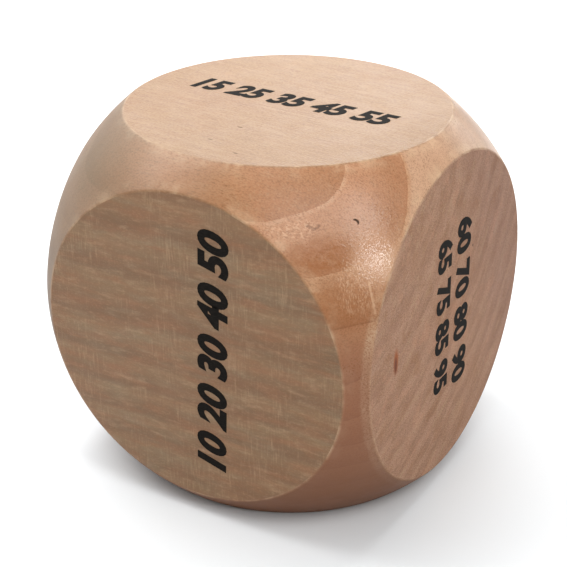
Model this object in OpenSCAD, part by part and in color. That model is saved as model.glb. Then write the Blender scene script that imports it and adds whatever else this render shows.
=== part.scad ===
// Rounded wooden cube: a square block turned down to a ball, which leaves six round flats.
// The cube stands on one flat. The origin is the middle of that flat, and Z points up.

/* [Block] */
// Length of each side, measured from one flat to the flat opposite
side = 30; // [24:0.5:60]

/* [Rounding] */
// Height of the round cap that each flat cuts off the ball
cap_h = 5; // [2:0.1:6]
// Radius that sanding leaves on the rim of each flat
rim_r = 0.35; // [0.1:0.05:1]

/* [Hidden] */
$fn = 128;

half = side / 2;
ball_r = half + cap_h;

// The rim's small arc touches the flat, and it reaches past the ball by this hair,
// so that the two always cross.
reach = 0.0002;

// Centre of the rim's arc
rim_z = half - rim_r;
rim_x = sqrt(pow(ball_r - rim_r + reach, 2) - pow(rim_z, 2));

// Where the arc meets the ball
touch_x = rim_x * ball_r / (ball_r - rim_r);
touch_z = rim_z * ball_r / (ball_r - rim_r);

// How far a cutting outline runs out past the wood
overrun = 1;

// Turns that bring the top flat to each of the six flats
flat_turns = [[0, 0, 0], [180, 0, 0], [90, 0, 0], [-90, 0, 0], [0, 90, 0], [0, -90, 0]];

module turned_block() {
    intersection() {
        cube(side, center = true);
        sphere(r = ball_r);
    }
}

// What sanding takes off the rim of the top flat: a square-cornered ring, less the rim's arc
module sanded_off() {
    rotate_extrude()
        difference() {
            translate([rim_x, touch_z])
                square([touch_x - rim_x + overrun, half - touch_z + overrun]);
            translate([rim_x, rim_z]) circle(r = rim_r);
        }
}

module cube_body() {
    color([0.86, 0.70, 0.53])
        translate([0, 0, half])
            difference() {
                turned_block();
                for (turn = flat_turns)
                    rotate(turn) sanded_off();
            }
}

cube_body();  // cube
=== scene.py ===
import math

import bpy
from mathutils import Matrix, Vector


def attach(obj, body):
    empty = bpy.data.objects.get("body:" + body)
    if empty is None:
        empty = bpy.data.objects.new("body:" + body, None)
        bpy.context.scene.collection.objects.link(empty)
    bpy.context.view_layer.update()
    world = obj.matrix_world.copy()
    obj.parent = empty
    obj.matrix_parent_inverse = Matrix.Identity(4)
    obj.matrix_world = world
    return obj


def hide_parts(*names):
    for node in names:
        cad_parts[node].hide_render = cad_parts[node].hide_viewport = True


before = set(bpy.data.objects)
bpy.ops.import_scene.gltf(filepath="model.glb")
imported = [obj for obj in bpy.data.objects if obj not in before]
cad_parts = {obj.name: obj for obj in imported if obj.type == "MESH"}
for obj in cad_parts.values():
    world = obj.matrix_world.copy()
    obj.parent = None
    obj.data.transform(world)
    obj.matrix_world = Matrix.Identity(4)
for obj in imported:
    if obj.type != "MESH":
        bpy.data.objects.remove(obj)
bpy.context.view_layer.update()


# The camera: a long lens 121 mm from the cube's middle, looking down on the corner between
# the front, right and top flats. It leans by less than a degree, as a hand-held camera does.
camera_lens_mm = 91.22
camera_place_mm = (56.375, -92.771, 68.832)
camera_turn_deg = (63.229, 0.781, 31.150)

camera_data = bpy.data.cameras.new("camera")
camera_data.lens = camera_lens_mm
camera_data.sensor_width = 36
camera_data.clip_start = 0.01
camera_data.clip_end = 5
camera = bpy.data.objects.new("camera", camera_data)
camera.location = [place / 1000 for place in camera_place_mm]
camera.rotation_euler = [math.radians(turn) for turn in camera_turn_deg]
bpy.context.collection.objects.link(camera)
bpy.context.scene.camera = camera


# The wooden cube: one solid block of pale, fine-pored wood. It was sawn square, turned to a
# ball that leaves six round flats, sanded, and sealed with a thin satin lacquer.
cube_half_mm = 15.0
ball_radius_mm = 20.0
rim_radius_mm = 0.35
ink_thick_mm = 0.015
steps_round = 192
flat_ring_places = (0.25, 0.6, 0.9, 0.99, 1.0)
rim_rings = 6
ball_rings = 18
# The angle at which a flat meets the ball is found in three rounds, from a first guess.
first_touch_deg = 42
touch_rounds = 3
# Vertices closer than this are one vertex.
weld_mm = 0.0001


def turned_radius(x, y, z):
    """Radius of the ball in the unit direction x, y, z, in mm. It was left up to 0.4 mm off round."""
    lean = 0.0017 * x - 0.0048 * y - 0.0015 * z
    stretch = 0.0198 * (x * x - z * z) - 0.007 * (y * y - z * z)
    skew = 0.01 * y * z - 0.0009 * x * y - 0.0013 * x * z
    corners = -0.0059 * x * y * z - 0.0016 * (x ** 4 + y ** 4 + z ** 4 - 0.6)
    return ball_radius_mm * (1 + lean + stretch + skew + corners)


def patch_rows(normal, side, up, height):
    """One flat, its rim and its share of the ball: rows of (point in mm, share of flat and of rim)."""
    def direction(polar, turn):
        across = side * math.cos(turn) + up * math.sin(turn)
        return normal * math.cos(polar) + across * math.sin(polar)

    rows = [[] for _ in range(len(flat_ring_places) + rim_rings + ball_rings)]
    for step in range(steps_round):
        turn = 2 * math.pi * step / steps_round
        across = side * math.cos(turn) + up * math.sin(turn)
        touch = math.radians(first_touch_deg)
        for _ in range(touch_rounds):
            rim_reach = turned_radius(*direction(touch, turn)) - rim_radius_mm
            touch = math.acos((height - rim_radius_mm) / rim_reach)
        rim_middle = rim_reach * math.sin(touch)
        row = iter(rows)
        for share in flat_ring_places:
            next(row).append((normal * height + across * rim_middle * share, 1.0, 0.0))
        for ring in range(1, rim_rings + 1):
            bend = touch * ring / rim_rings
            out = rim_middle + rim_radius_mm * math.sin(bend)
            high = height - rim_radius_mm + rim_radius_mm * math.cos(bend)
            next(row).append((across * out + normal * high, 1 - ring / rim_rings, 1.0))
        border = math.atan(1 / max(abs(math.cos(turn)), abs(math.sin(turn))))
        for ring in range(1, ball_rings + 1):
            toward = direction(touch + (border - touch) * ring / ball_rings, turn)
            next(row).append((toward * turned_radius(*toward), 0.0, 0.0))
    return rows


axis_x, axis_y, axis_z = Vector((1, 0, 0)), Vector((0, 1, 0)), Vector((0, 0, 1))
# The three flats that carry numbers lie lower by the thickness of the ink.
inked_height = cube_half_mm - ink_thick_mm
flats = (
    (axis_z, axis_x, axis_y, inked_height),
    (-axis_z, axis_y, axis_x, cube_half_mm),
    (axis_x, axis_y, axis_z, inked_height),
    (-axis_x, axis_z, axis_y, cube_half_mm),
    (-axis_y, axis_x, axis_z, inked_height),
    (axis_y, axis_z, axis_x, cube_half_mm),
)
middle = Vector((0, 0, cube_half_mm))
points = []
faces = []
flat_share = []
rim_share = []
known = {}


def add_point(spot, on_flat, on_rim):
    """Number of the vertex at spot, in mm from the middle. Patches share their border vertices."""
    key = tuple(round(value / weld_mm) for value in spot)
    if key not in known:
        known[key] = len(points)
        points.append((spot + middle) / 1000)
        flat_share.append(on_flat)
        rim_share.append(on_rim)
    return known[key]


for normal, side, up, height in flats:
    centre = add_point(normal * height, 1.0, 0.0)
    rows = [[add_point(*spot) for spot in row] for row in patch_rows(normal, side, up, height)]
    for step in range(steps_round):
        following = (step + 1) % steps_round
        faces.append((centre, rows[0][step], rows[0][following]))
        for inner, outer in zip(rows, rows[1:]):
            faces.append((inner[step], outer[step], outer[following], inner[following]))

cube_mesh = bpy.data.meshes.new("wooden_cube")
cube_mesh.from_pydata(points, [], faces)
cube_mesh.attributes.new("flat", "FLOAT", "POINT").data.foreach_set("value", flat_share)
cube_mesh.attributes.new("rim", "FLOAT", "POINT").data.foreach_set("value", rim_share)
cube_mesh.shade_smooth()
cube = bpy.data.objects.new("wooden_cube", cube_mesh)
bpy.context.collection.objects.link(cube)


class Signal:
    """A socket of a material. Arithmetic on it adds Math nodes, so that 1 - mask reads as it is meant."""

    def __init__(self, tree, socket=None):
        self.tree = tree
        self.socket = socket

    def node(self, kind, settings, inputs, output=0):
        """A new node: its type, its settings, then a value or a link for each named or numbered input."""
        new = self.tree.nodes.new(kind)
        for name, setting in settings.items():
            setattr(new, name, setting)
        for name, item in inputs.items():
            if isinstance(item, Signal):
                self.tree.links.new(item.socket, new.inputs[name])
            else:
                new.inputs[name].default_value = item
        return Signal(self.tree, new.outputs[output] if new.outputs else None)

    def maths(self, operation, *items):
        return self.node("ShaderNodeMath", {"operation": operation}, dict(enumerate(items)))

    def __add__(self, other):
        return self.maths("ADD", self, other)

    def __sub__(self, other):
        return self.maths("SUBTRACT", self, other)

    def __rsub__(self, other):
        return self.maths("SUBTRACT", other, self)

    def __mul__(self, other):
        return self.maths("MULTIPLY", self, other)

    __radd__ = __add__
    __rmul__ = __mul__

    def between(self, low, high, smooth=True):
        """0 where self is at low, 1 where it is at high, and a smooth or straight ramp in between."""
        kind = "SMOOTHSTEP" if smooth else "LINEAR"
        ends = {"Value": self, "From Min": low, "From Max": high}
        return self.node("ShaderNodeMapRange", {"interpolation_type": kind}, ends)

    def painted(self, mask, colour):
        """Self, a colour, with another colour laid over it where mask is 1."""
        return self.node("ShaderNodeMix", {"data_type": "RGBA"}, {0: mask, 6: self, 7: colour}, 2)

    def blend(self, first, second):
        """The first colour where self is 0, the second where it is 1, and a mix in between."""
        return self.node("ShaderNodeMix", {"data_type": "RGBA"}, {0: self, 6: first, 7: second}, 2)


def noise_at(spot, size, detail=2.0, stretch=(1, 1, 1), offset=(0, 0, 0)):
    """Soft noise from 0 to 1 at a spot in mm. Stretch makes its lumps, of that size in mm, longer on
    each axis, and another offset gives another pattern."""
    scale = [1 / (size * factor) for factor in stretch]
    spread = spot.node("ShaderNodeMapping", {}, {"Vector": spot, "Scale": scale, "Location": offset})
    inputs = {"Vector": spread, "Scale": 1.0, "Detail": detail, "Roughness": 0.6}
    return spot.node("ShaderNodeTexNoise", {"noise_dimensions": "3D"}, inputs, "Fac")


def blot_at(spot, centre, half_size):
    """1 at a centre in mm and 0 outside the ellipsoid of those half sizes in mm."""
    offset = spot.node("ShaderNodeVectorMath", {"operation": "SUBTRACT"}, {0: spot, 1: centre})
    share = spot.node("ShaderNodeVectorMath", {"operation": "DIVIDE"}, {0: offset, 1: half_size})
    length = spot.node("ShaderNodeVectorMath", {"operation": "LENGTH"}, {0: share}, "Value")
    return length.between(1.0, 0.4)


wood = bpy.data.materials.new("lacquered_wood")
wood.use_nodes = True
wood.node_tree.nodes.clear()
start = Signal(wood.node_tree)
metres = start.node("ShaderNodeTexCoord", {}, {}, "Object")
spot = start.node("ShaderNodeMapping", {},
                  {"Vector": metres, "Scale": (1000, 1000, 1000), "Location": (0, 0, -cube_half_mm)})
x = spot.node("ShaderNodeSeparateXYZ", {}, {"Vector": spot}, "X")
y = spot.node("ShaderNodeSeparateXYZ", {}, {"Vector": spot}, "Y")
z = spot.node("ShaderNodeSeparateXYZ", {}, {"Vector": spot}, "Z")
on_flat = start.node("ShaderNodeAttribute", {"attribute_name": "flat"}, {}, "Fac")
on_rim = start.node("ShaderNodeAttribute", {"attribute_name": "rim"}, {}, "Fac")
on_ball = 1 - on_flat
far_x = start.maths("ABSOLUTE", x)
far_y = start.maths("ABSOLUTE", y)
far_z = start.maths("ABSOLUTE", z)
near_flat_mm, at_flat_mm = 14.6, 14.9
on_end_grain = on_flat * far_x.between(near_flat_mm, at_flat_mm)
on_front_back = on_flat * far_y.between(near_flat_mm, at_flat_mm)
on_top_base = on_flat * far_z.between(near_flat_mm, at_flat_mm)

# Year rings: they run round a pith that lies outside the block, over its top front edge.
# The inner rings are off centre by pith_shift, as in a branch that grew to one side. All in mm.
pith_y, pith_z = -17.0, 21.1
pith_lean_y, pith_lean_z = -0.09, 0.03
pith_shift = 2.3
ring_edges = (6.4, 9.4, 13.0, 16.7, 21.0, 24.0, 26.5, 28.8, 31.3, 33.7, 35.5, 37.5, 40.2, 42.2,
              44.0, 46.0, 48.0)

slow_wander = (noise_at(spot, 5.0, 1.0, (3, 1, 1)) - 0.5) * 1.2
quick_wander = (noise_at(spot, 1.2, 2.0, (5, 1, 1)) - 0.5) * 0.15
from_pith_y = y - (x * pith_lean_y + pith_y)
from_pith_z = z - (x * pith_lean_z + pith_z)
rough_radius = start.maths("SQRT", from_pith_y * from_pith_y + from_pith_z * from_pith_z)
near_pith = 1 - rough_radius.between(14.0, 22.0)
shifted_y = from_pith_y - near_pith * pith_shift
true_radius = start.maths("SQRT", shifted_y * shifted_y + from_pith_z * from_pith_z)
radius = true_radius + (slow_wander + quick_wander)

ring_number = radius.between(ring_edges[0], ring_edges[1], False)
for inner_edge, outer_edge in zip(ring_edges[1:], ring_edges[2:]):
    ring_number = ring_number + radius.between(inner_edge, outer_edge, False)
ring_part = start.maths("FRACT", ring_number)
ring_whole = start.maths("FLOOR", ring_number)
ring_shade = start.node("ShaderNodeTexWhiteNoise", {"noise_dimensions": "1D"}, {"W": ring_whole + 3.0})

late_wood = ring_part.between(0.10, 1.0)
soft_band = ring_part.between(0.0, 0.65) - ring_part.between(0.70, 1.0)
late_line = ring_part.between(0.93, 0.99) * radius.between(15.0, 16.0) * z.between(7.5, 6.0)
first_line = (1 - ring_part.between(0.02, 0.07)) * radius.between(15.5, 14.0)

# Grain: fibres lie along the pith, fine rays cross them, and the cut ends show as speckle.
grain = start.node("ShaderNodeCombineXYZ", {}, {"X": x, "Y": from_pith_y, "Z": from_pith_z})
fibres = noise_at(grain, 0.11, 2.0, (22, 1, 1))
strands = noise_at(grain, 0.55, 3.0, (16, 1, 1))
mottle = noise_at(grain, 1.3, 3.0, (3.5, 1, 0.6))
cloud = noise_at(grain, 4.5, 3.0, (2.2, 1, 1))
speckle = noise_at(grain, 0.11, 1.0, (2.0, 1, 1), (5, 9, 2))
pith_turn_mm = 30.0
round_pith = start.maths("ARCTAN2", from_pith_z, shifted_y) * pith_turn_mm
along_ring = start.node("ShaderNodeCombineXYZ", {}, {"X": x, "Y": radius, "Z": round_pith})
smear = noise_at(along_ring, 0.5, 3.0, (4, 1, 5))
blotch = noise_at(along_ring, 1.6, 3.0, (3, 1, 1.6), (7, 2, 5))
rays = noise_at(grain, 0.13, 2.0, (1, 1, 12))
ray_patches = noise_at(grain, 3.0, 2.0, (1, 1, 1.5), (4, 1, 7))

# Colours: the turned ball is a deeper tan than the six flats, where the year rings hardly show.
flat_pale = (0.205, 0.116, 0.051, 1)
flat_late = (0.146, 0.071, 0.027, 1)
end_pale = (0.364, 0.199, 0.128, 1)
end_late = (0.258, 0.126, 0.077, 1)
painted_top_light = (0.334, 0.192, 0.085, 1)
ball_pale = (0.432, 0.205, 0.094, 1)
ball_late = (0.312, 0.125, 0.044, 1)
pink_tint = (0.470, 0.226, 0.130, 1)
line_colour = (0.230, 0.090, 0.036, 1)
pale_line_colour = (0.640, 0.400, 0.240, 1)
pale_ring_and_sheen_colour = (0.610, 0.405, 0.275, 1)
dark_fibre = (0.190, 0.090, 0.040, 1)
pale_fibre = (0.380, 0.238, 0.132, 1)
cloud_colour = (0.245, 0.100, 0.038, 1)
olive_colour = (0.215, 0.153, 0.086, 1)

flat_colour = (soft_band * (0.9 - on_top_base * 0.5)).blend(flat_pale, flat_late)
end_colour = (soft_band * 0.66).blend(end_pale, end_late)
ball_colour = (late_wood * 0.85).blend(ball_pale, ball_late)
pink_ring = radius.between(9.3, 9.5) - radius.between(12.9, 13.1)
ball_colour = ball_colour.painted(ring_shade * 0.2 + pink_ring * 0.4, pink_tint)
colour = ball_colour.painted(on_flat, flat_colour)
colour = colour.painted(on_end_grain, end_colour)
# Painted light: the top flat is painted lighter and yellower than the other flats, as it is the most lit.
colour = colour.painted(on_top_base * 0.8, painted_top_light)
colour = colour.painted(late_line * on_ball * 0.7, line_colour)
left_fade = x.between(-4.0, 7.0) * 0.9 + 0.1
# The patch where the glint falls on the near corner: glossier, and painted paler as a highlight.
glint_patch = blot_at(spot, (13.90, -11.00, 9.50), (2.4, 2.8, 3.0))
broken_line = first_line * left_fade * strands.between(0.30, 0.60) * (1 - glint_patch)
colour = colour.painted(broken_line * on_ball * 0.42, pale_line_colour)
# Outside the third ring the upper ball is paler: partly pale early wood, partly a painted sheen.
outside_third = radius.between(13.0, 13.4) * z.between(7.0, 11.0)
colour = colour.painted(outside_third * on_ball * 0.55, pale_ring_and_sheen_colour)
colour = colour.painted(cloud.between(0.40, 0.75) * 0.30, cloud_colour)
colour = colour.painted(cloud.between(0.50, 0.30) * on_front_back * 0.35, olive_colour)
colour = colour.painted(mottle.between(0.45, 0.70) * (on_front_back * 0.45 + 0.15), cloud_colour)
colour = colour.painted(mottle.between(0.50, 0.25) * (on_front_back * 0.35 + 0.08), olive_colour)
blotch_share = on_end_grain * 0.6 + on_front_back * 0.3
colour = colour.painted(blotch.between(0.50, 0.72) * blotch_share, cloud_colour)
colour = colour.painted(blotch.between(0.50, 0.28) * on_end_grain * 0.48, pink_tint)
smear_share = on_flat * 0.26 + on_end_grain * 0.22 + 0.11
colour = colour.painted(smear.between(0.50, 0.75) * smear_share, dark_fibre)
colour = colour.painted(smear.between(0.50, 0.25) * smear_share, pale_fibre)
colour = colour.painted(fibres.between(0.48, 0.28) * 0.45, dark_fibre)
colour = colour.painted(strands.between(0.50, 0.75) * (on_top_base * 0.22 + 0.20), pale_fibre)
colour = colour.painted(strands.between(0.50, 0.25) * on_top_base * 0.22, cloud_colour)
speckle_share = 1 - on_front_back * 0.45 + on_end_grain * 0.5
colour = colour.painted(speckle.between(0.45, 0.75) * speckle_share * 0.55, dark_fibre)
colour = colour.painted(speckle.between(0.50, 0.25) * speckle_share * 0.40, pale_fibre)
ray_share = on_front_back * ray_patches.between(0.35, 0.65)
colour = colour.painted(rays.between(0.50, 0.30) * ray_share * 0.72, dark_fibre)
colour = colour.painted(rays.between(0.50, 0.75) * ray_share * 0.44, pale_fibre)

# Edge wear: the rims of the flats and the ball just beside them are rubbed paler in places. All
# along the near edge of the right flat, the pale band is partly wear and partly a painted sheen.
rim_wear_and_sheen_colour = (0.640, 0.450, 0.280, 1)
farthest = start.maths("MAXIMUM", start.maths("MAXIMUM", far_x, far_y), far_z)
beside_flat = farthest.between(14.2, 14.8) * on_ball * 0.55
rim_wear = noise_at(spot, 1.6, 3.0, (1, 1, 1), (3, 3, 8)).between(0.40, 0.65)
rubbed_and_sheen = start.maths("MAXIMUM", on_rim * 0.8, beside_flat) * (rim_wear * 0.5 + 0.02)
# The near edge of the right flat: wear with a painted sheen over it.
right_rim = x.between(14.36, 14.62) * on_ball * z.between(7.0, 4.0) * y.between(0.0, -6.0)
right_rim_wear_and_sheen = right_rim * (rim_wear * 0.40 + 0.60) * speckle.between(0.75, 0.35)
rubbed_and_sheen = start.maths("MAXIMUM", rubbed_and_sheen, right_rim_wear_and_sheen)
colour = colour.painted(rubbed_and_sheen, rim_wear_and_sheen_colour)

# Small marks: a dark curl and flecks of bark, a faint squiggle left of the curl, a slit in the
# end grain, and a brown stain that stops at the third ring.
fleck_colour = (0.030, 0.015, 0.008, 1)
squiggle_colour = (0.140, 0.050, 0.014, 1)
slit_colour = (0.255, 0.068, 0.014, 1)
slit_end_colour = (0.110, 0.020, 0.001, 1)
stain_colour = (0.262, 0.086, 0.018, 1)
# Centre and half size of each, in mm. The first six make up the curl.
bark_flecks = (
    ((12.03, -10.75, 11.87), (0.15, 0.18, 0.08)),
    ((12.10, -10.71, 11.84), (0.12, 0.18, 0.09)),
    ((12.18, -10.69, 11.79), (0.11, 0.18, 0.10)),
    ((12.25, -10.68, 11.73), (0.10, 0.18, 0.11)),
    ((12.30, -10.68, 11.66), (0.08, 0.18, 0.11)),
    ((12.32, -10.70, 11.57), (0.06, 0.18, 0.10)),
    ((-0.57, -6.03, 15.00), (0.35, 0.09, 0.20)),
    ((-1.16, -9.27, 15.00), (0.30, 0.08, 0.20)),
    ((2.03, -10.75, 15.00), (0.28, 0.08, 0.20)),
    ((15.00, 3.68, 4.64), (0.20, 0.14, 0.16)),
)
squiggle = (
    ((9.50, -13.05, 11.72), (0.24, 0.30, 0.12)),
    ((9.72, -12.97, 11.62), (0.18, 0.30, 0.13)),
    ((9.92, -12.92, 11.50), (0.20, 0.30, 0.15)),
    ((10.10, -12.78, 11.56), (0.20, 0.30, 0.12)),
    ((10.18, -12.66, 11.70), (0.16, 0.30, 0.16)),
)
dark_spots = 0.0
for centre, half_size in bark_flecks:
    fleck = blot_at(spot, centre, half_size)
    colour = colour.painted(fleck * 0.85, fleck_colour)
    dark_spots = fleck + dark_spots
for centre, half_size in squiggle:
    colour = colour.painted(blot_at(spot, centre, half_size) * 0.60, squiggle_colour)
slit = blot_at(spot, (15.00, -9.55, 0.44), (0.80, 0.50, 1.40))
slit_end = blot_at(spot, (15.00, -9.58, 0.15), (0.80, 0.30, 0.95))
colour = colour.painted(slit, slit_colour)
colour = colour.painted(slit_end * 0.85, slit_end_colour)
stain = blot_at(spot, (11.00, -13.50, 9.90), (3.2, 2.6, 1.7)) * (1 - radius.between(12.9, 13.1))
stain_low = blot_at(spot, (12.90, -13.90, 6.60), (3.0, 3.0, 2.6)) * 0.5
ragged = noise_at(spot, 0.45, 3.0, (1, 1, 1), (8, 2, 6)).between(0.35, 0.60) * 0.5 + 0.6
colour = colour.painted((stain + stain_low) * mottle.between(0.20, 0.60) * ragged * 0.72, stain_colour)

# The lacquer of the near corner: a speckled sheen painted at its left, fine upright scratches, a pale
# spot painted as a highlight where the glint falls, and one long scratch beside the right flat, laid
# down as a row of blots that overlap.
painted_glint_colour = (0.540, 0.310, 0.185, 1)
scratch_blots = 6
# Painted highlight: pale speckles of sheen left of the near corner.
painted_sheen_patch = blot_at(spot, (8.30, -13.80, 11.70), (2.9, 2.0, 1.4)) * radius.between(9.3, 9.9)
sheen_speckle = noise_at(spot, 0.17, 2.0, (1.6, 1, 1), (3, 8, 4)).between(0.48, 0.66)
colour = colour.painted(painted_sheen_patch * sheen_speckle * 0.48, pale_line_colour)
scratched = blot_at(spot, (13.2, -12.6, 7.6), (2.2, 2.6, 3.4))
scratches = noise_at(spot, 0.11, 2.0, (1, 1, 16), (2, 6, 1)).between(0.48, 0.66)
colour = colour.painted(scratched * scratches * 0.40, pale_line_colour)
# Painted highlight: a pale spot where the glint falls.
colour = colour.painted(glint_patch * 0.45, painted_glint_colour)
for step in range(scratch_blots):
    centre = (14.02 + 0.136 * step, -12.18 - 0.066 * step, 7.90 - 0.38 * step)
    colour = colour.painted(blot_at(spot, centre, (0.14, 0.14, 0.42)) * 0.55, pale_line_colour)

# Painted shade: the ball is painted browner below its middle, darkest underneath, and greyer at
# its left as a painted sheen over shade. The bands beside the top flat are painted browner, and
# the top and the right flat are painted darker to one side.
painted_lower_shade = (0.160, 0.043, 0.009, 1)
painted_left_sheen_and_shade = (0.123, 0.113, 0.078, 1)
painted_underside_shade = (0.128, 0.042, 0.010, 1)
painted_band_shade = (0.170, 0.115, 0.060, 1)
top_shade = (0.160, 0.078, 0.026, 1)
end_shade = (0.160, 0.085, 0.080, 1)
# Painted shade: browner below the ball's middle.
lower_half = z.between(10.0, 0.0) * on_ball
colour = colour.painted(lower_half * 0.74, painted_lower_shade)
# Painted shade: the bands beside the top flat, at its front and at its right back, are browner.
front_band = x.between(6.0, 1.0) * y.between(-8.0, -11.0) * z.between(9.0, 11.5) * on_ball
colour = colour.painted(front_band * 0.25, painted_band_shade)
back_band = x.between(10.0, 12.5) * z.between(10.0, 12.5) * y.between(-2.0, 2.0) * on_ball
colour = colour.painted(back_band * 0.18, painted_band_shade)
# Painted shade: the top flat is darker toward its front and right.
top_fade = (x * 0.88 - y * 0.47).between(-10.0, 14.0, False) * on_top_base
colour = colour.painted(top_fade * 0.30, top_shade)
# Painted shade: the right flat is darker toward its back and top.
end_fade = (z * 0.35 + y).between(1.5, 11.0) * on_end_grain
colour = colour.painted(end_fade * 0.24, end_shade)
# Painted sheen and shade: the ball's left is painted greyer and darker.
left_part = x.between(0.0, -12.0) * on_ball
colour = colour.painted(left_part * 0.60, painted_left_sheen_and_shade)
# Painted shade: darkest underneath.
underside = z.between(1.0, -14.0) * on_ball
colour = colour.painted(underside * 0.80, painted_underside_shade)

# Finish: satin lacquer that is glossiest at the near corner, over pores that are deepest on the
# flats and toward the cut ends.
bump_depth_m = 0.000014
end_share = far_x.between(8.0, 15.0)
peel = noise_at(spot, 0.30, 2.0)
polish = noise_at(spot, 2.2, 2.0, (1, 1, 1), (6, 1, 4)).between(0.35, 0.65)
near_corner = blot_at(spot, (13.9, -10.9, 9.6), (4.5, 4.5, 4.5))
roughness = 0.30 - polish * 0.05 - near_corner * 0.06 - glint_patch * 0.06 + fibres * 0.06 + on_flat * 0.14
roughness = roughness + on_end_grain * 0.35 + left_part * 0.25 + underside * 0.30 + dark_spots * 0.4
bump_height = (fibres * 0.3 + speckle * (end_share + 0.4)) * (on_flat * 3.0 + 0.5)
bump_height = bump_height + peel * on_ball * (near_corner + 0.5) + scratched * scratches * 0.25
bump = start.node("ShaderNodeBump", {}, {
    "Strength": 1.0, "Distance": bump_depth_m, "Height": bump_height})
surface = start.node("ShaderNodeBsdfPrincipled", {}, {
    "Base Color": colour, "Roughness": roughness, "Normal": bump, "Specular IOR Level": 0.4})
start.node("ShaderNodeOutputMaterial", {}, {"Surface": surface})
cube_mesh.materials.append(wood)
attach(cube, "root")
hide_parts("cube")


# The numbers: thin black ink, printed in one bold line along the front and top flats and in
# two short lines on the end grain at the right. They are plain numbers with no meaning.
ink_black = (0.005, 0.004, 0.003, 1)
ink_thin = (0.014, 0.011, 0.009, 1)
ink = bpy.data.materials.new("black_ink")
ink.use_nodes = True
ink.node_tree.nodes.clear()
ink_start = Signal(ink.node_tree)
ink_metres = ink_start.node("ShaderNodeTexCoord", {}, {}, "Object")
ink_spot = ink_start.node("ShaderNodeMapping", {}, {"Vector": ink_metres, "Scale": (1000, 1000, 1000)})
ink_grain = noise_at(ink_spot, 0.12, 2.0, (3, 1, 1))
ink_colour = ink_grain.between(0.3, 0.8).blend(ink_black, ink_thin)
ink_surface = ink_start.node("ShaderNodeBsdfPrincipled", {}, {
    "Base Color": ink_colour, "Roughness": ink_grain * 0.2 + 0.6, "Specular IOR Level": 0.06})
ink_start.node("ShaderNodeOutputMaterial", {}, {"Surface": ink_surface})

# The film is flush with the CAD box, and it bites half its thickness into the wood. The strokes
# are swollen, so that the digits are bold.
ink_reach_mm = ink_thick_mm * 1.5
stroke_swell = 0.045
text_half_depth = 0.5


def print_numbers(name, digits, slant, height_mm, length_mm, start_mm, along, upward, outward):
    """A line of bold digits from start_mm on a flat. It runs along, and upward is the digits' up."""
    text = bpy.data.curves.new(name, "FONT")
    text.body = digits
    text.shear = slant
    text.offset = stroke_swell
    text.extrude = text_half_depth
    text.resolution_u = 5
    letters = bpy.data.objects.new(name + "_text", text)
    bpy.context.collection.objects.link(letters)
    bpy.context.view_layer.update()
    mesh = bpy.data.meshes.new_from_object(letters.evaluated_get(bpy.context.evaluated_depsgraph_get()))
    bpy.data.objects.remove(letters)
    left = min(vertex.co.x for vertex in mesh.vertices)
    right = max(vertex.co.x for vertex in mesh.vertices)
    low = min(vertex.co.y for vertex in mesh.vertices)
    high = max(vertex.co.y for vertex in mesh.vertices)
    stretch = length_mm / (right - left)
    rise = height_mm / (high - low)
    for vertex in mesh.vertices:
        across = (vertex.co.x - left) * stretch
        up = (vertex.co.y - low) * rise
        depth = ink_reach_mm * (vertex.co.z - text_half_depth)
        place = Vector(start_mm) + along * across + upward * up + outward * depth
        vertex.co = (place + middle) / 1000
    mesh.materials.clear()
    mesh.materials.append(ink)
    mesh.name = name
    printed = bpy.data.objects.new(name, mesh)
    bpy.context.collection.objects.link(printed)
    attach(printed, "root")


# The two long lines were printed a little askew.
front_lean = math.radians(2.7)
front_along = axis_z * math.cos(front_lean) + axis_x * math.sin(front_lean)
front_up = -axis_x * math.cos(front_lean) + axis_z * math.sin(front_lean)
print_numbers("front_numbers", "10 20 30 40 50", 0.22, 2.75, 20.8, (3.1, -15.0, -10.3),
              front_along, front_up, -axis_y)
top_lean = math.radians(-1.9)
top_along = axis_x * math.cos(top_lean) + axis_y * math.sin(top_lean)
top_up = axis_y * math.cos(top_lean) - axis_x * math.sin(top_lean)
print_numbers("top_numbers", "15 25 35 45 55", 0.22, 2.55, 18.6, (-9.5, 0.1, 15.0),
              top_along, top_up, axis_z)
print_numbers("right_numbers_1", "60 70 80 90", 0.0, 2.7, 14.8, (15.0, 0.6, 7.8),
              -axis_z, axis_y, axis_x)
print_numbers("right_numbers_2", "65 75 85 95", 0.0, 2.6, 13.5, (15.0, -2.8, 7.2),
              -axis_z, axis_y, axis_x)


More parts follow.
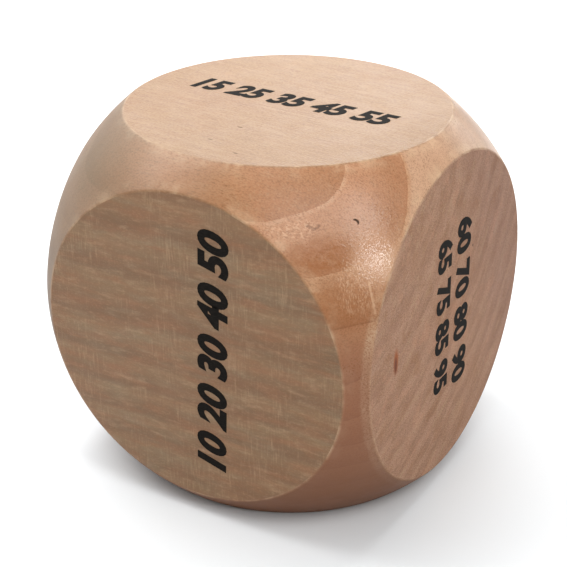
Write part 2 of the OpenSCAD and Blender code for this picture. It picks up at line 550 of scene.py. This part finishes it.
# The floor: a wide sheet of pale card that the cube stands on.
# It is far wider than any view, so that it fills the picture as a studio sweep does.
floor_half_m = 3.0
floor_corners = [(-floor_half_m, -floor_half_m, 0), (floor_half_m, -floor_half_m, 0),
                 (floor_half_m, floor_half_m, 0), (-floor_half_m, floor_half_m, 0)]
card_dull = (0.740, 0.760, 0.772, 1)
card_bright = (0.760, 0.780, 0.792, 1)
floor_mesh = bpy.data.meshes.new("floor")
floor_mesh.from_pydata(floor_corners, [], [(0, 1, 2, 3)])
floor = bpy.data.objects.new("floor", floor_mesh)
bpy.context.collection.objects.link(floor)
card = bpy.data.materials.new("pale_card")
card.use_nodes = True
card.node_tree.nodes.clear()
card_start = Signal(card.node_tree)
card_metres = card_start.node("ShaderNodeTexCoord", {}, {}, "Object")
card_tone = card_start.node("ShaderNodeTexNoise", {}, {"Vector": card_metres, "Scale": 40.0}, "Fac")
card_colour = card_tone.blend(card_dull, card_bright)
card_surface = card_start.node("ShaderNodeBsdfPrincipled", {}, {
    "Base Color": card_colour, "Roughness": 0.9})
card_start.node("ShaderNodeOutputMaterial", {}, {"Surface": card_surface})
floor_mesh.materials.append(card)


# The light: soft boxes in a white room, out of the picture. The strongest are behind the cube and
# high at its left, and the panels behind lay a sheen on the top. The small spot at the right makes
# the glint on the near corner.
room_strength = 0.41
bpy.context.scene.view_settings.view_transform = "Standard"
room = bpy.data.worlds.new("white_room")
room.use_nodes = True
room.node_tree.nodes["Background"].inputs["Color"].default_value = (1, 1, 1, 1)
room.node_tree.nodes["Background"].inputs["Strength"].default_value = room_strength
bpy.context.scene.world = room


def add_soft_box(name, place_mm, width_mm, height_mm, watts):
    """An area light that faces the cube's middle."""
    lamp = bpy.data.lights.new(name, "AREA")
    lamp.shape = "RECTANGLE"
    lamp.size = width_mm / 1000
    lamp.size_y = height_mm / 1000
    lamp.energy = watts
    lamp_object = bpy.data.objects.new(name, lamp)
    lamp_object.location = Vector(place_mm) / 1000
    toward = (middle - Vector(place_mm)).normalized()
    lamp_object.rotation_euler = toward.to_track_quat("-Z", "Y").to_euler()
    bpy.context.collection.objects.link(lamp_object)


add_soft_box("overhead_box", (-70, 15, 390), 280, 280, 0.42)
add_soft_box("behind_box", (-60, 300, 265), 280, 280, 0.90)
add_soft_box("high_left_box", (-257, 0, 321), 280, 280, 0.85)
add_soft_box("low_left_box", (-321, 185, 165), 250, 250, 0.30)
add_soft_box("back_panel", (-186, 304, 185), 300, 170, 0.27)
add_soft_box("right_back_panel", (74, 383, 103), 120, 100, 0.09)
add_soft_box("left_box", (-273, -158, 261), 250, 250, 0.25)
add_soft_box("front_box", (136, -222, 345), 200, 200, 0.42)
add_soft_box("corner_box", (254, -72, 315), 120, 120, 0.38)
add_soft_box("right_spot", (335, -108, 202), 40, 40, 0.20)
